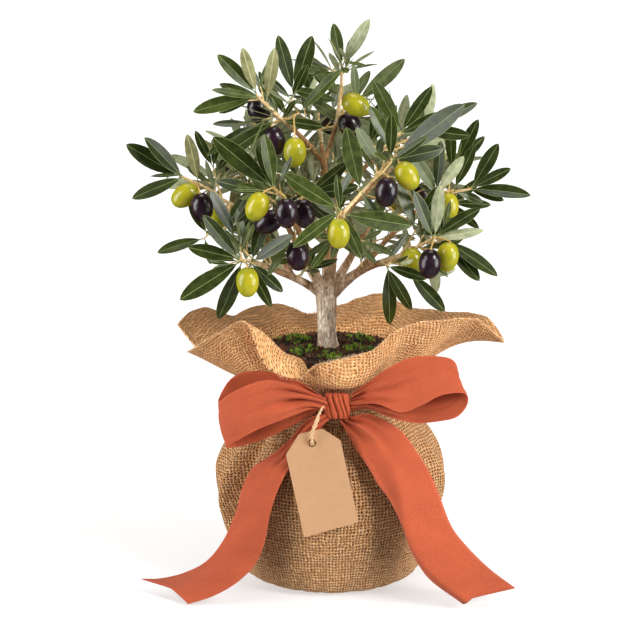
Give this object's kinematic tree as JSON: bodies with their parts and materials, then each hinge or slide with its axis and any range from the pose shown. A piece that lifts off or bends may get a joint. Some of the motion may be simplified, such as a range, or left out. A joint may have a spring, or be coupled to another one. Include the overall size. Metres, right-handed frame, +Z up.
{
  "type": "potted olive tree",
  "caption": "Small olive tree with green and black fruit, its root ball wrapped in a burlap sack tied with a ribbon bow that carries a blank tag",
  "frame": {"origin": "centre of the sack's flat underside, on the surface that the plant stands on", "axes": "+Z up along the trunk, -Y towards the front with the bow and the tag, +X to the right as seen from the front"},
  "size_m": [0.3162, 0.2533, 0.45],
  "materials": {
    "burlap": "matte",
    "soil": "matte",
    "moss": "matte",
    "ribbon": "matte",
    "card": "matte",
    "twine": "matte",
    "bark": "rough",
    "foliage": "satin"
  },
  "bodies": {
    "root": {"sack_body": "burlap", "sack_collar": "burlap", "root_ball": "soil", "moss_1": "moss", "moss_2": "moss", "moss_3": "moss", "moss_4": "moss", "moss_5": "moss", "ribbon_band": "ribbon", "ribbon_knot": "ribbon", "ribbon_loop_left": "ribbon", "ribbon_loop_right": "ribbon", "ribbon_tail_left": "ribbon", "ribbon_tail_right": "ribbon", "tag": "card", "twine": "twine", "trunk": "bark", "leader": "bark", "bough_left_front": "bark", "bough_right": "bark", "bough_left": "bark", "bough_back_right": "bark", "bough_back_left": "bark", "bough_back": "bark", "bough_far_left": "bark", "bough_far_right": "bark", "bough_front": "bark", "bough_upper_right": "bark", "bough_upper_left": "bark", "bough_top": "bark", "bough_upper_back": "bark", "bough_mid_right": "bark", "bough_mid_left": "bark", "leaves_far_left": "foliage", "leaves_low_left": "foliage", "leaves_front_left": "foliage", "leaves_front": "foliage", "leaves_upper_left": "foliage", "leaves_top": "foliage", "leaves_upper_right": "foliage", "leaves_far_right": "foliage", "leaves_low_right": "foliage", "leaves_back_left": "foliage", "leaves_back_right": "foliage", "leaves_back": "foliage", "leaves_upper_back": "foliage", "leaves_mid_right": "foliage", "leaves_mid_left": "foliage"}
  },
  "joints": []
}
